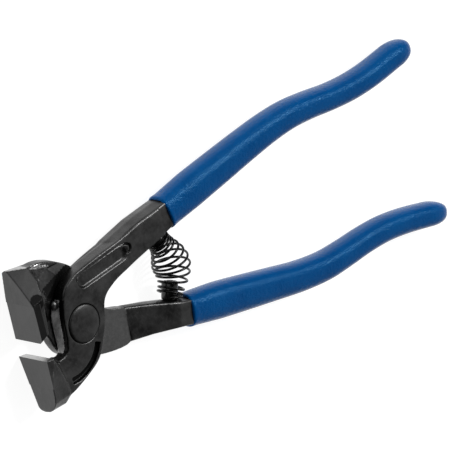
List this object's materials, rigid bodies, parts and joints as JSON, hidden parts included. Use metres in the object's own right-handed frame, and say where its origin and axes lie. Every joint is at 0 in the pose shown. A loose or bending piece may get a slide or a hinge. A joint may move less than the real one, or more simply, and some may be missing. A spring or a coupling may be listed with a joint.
{
  "type": "tile nippers",
  "caption": "Tile nippers with half-lapped forged levers on a rivet, wide carbide-tipped end jaws, dipped vinyl grips and a coil return spring.",
  "frame": {"origin": "middle of the footprint, on the surface that the nippers lie on", "axes": "+X from the jaws towards the grips, +Y across the handles towards the upper handle, +Z along the pivot, away from the surface"},
  "size_m": [0.2026, 0.0744, 0.0159],
  "materials": {
    "black_steel": "black oxide over forged steel, satin",
    "rivet_steel": "black oxide, slightly mottled",
    "carbide": "ground flat, matte grey",
    "blue_vinyl": "dipped vinyl with a fine pebbled skin",
    "spring_steel": "blackened spring wire, satin"
  },
  "bodies": {
    "front_lever": {"front_lever": "black_steel", "pivot_rivet": "rivet_steel", "lower_jaw_tip": "carbide", "upper_grip": "blue_vinyl", "upper_spring_peg": "black_steel", "return_spring": "spring_steel"},
    "rear_lever": {"rear_lever": "black_steel", "upper_jaw_tip": "carbide", "lower_grip": "blue_vinyl", "lower_spring_peg": "black_steel"}
  },
  "joints": [
    {"name": "pivot", "type": "hinge", "parent": "front_lever", "child": "rear_lever", "pos_m": [-0.07837, -0.00169, 0.00794], "axis": [0, 0, 1], "range_deg": [0, 16], "stiffness_Nm_per_rad": 2.5, "deforming": ["return_spring"]}
  ]
}
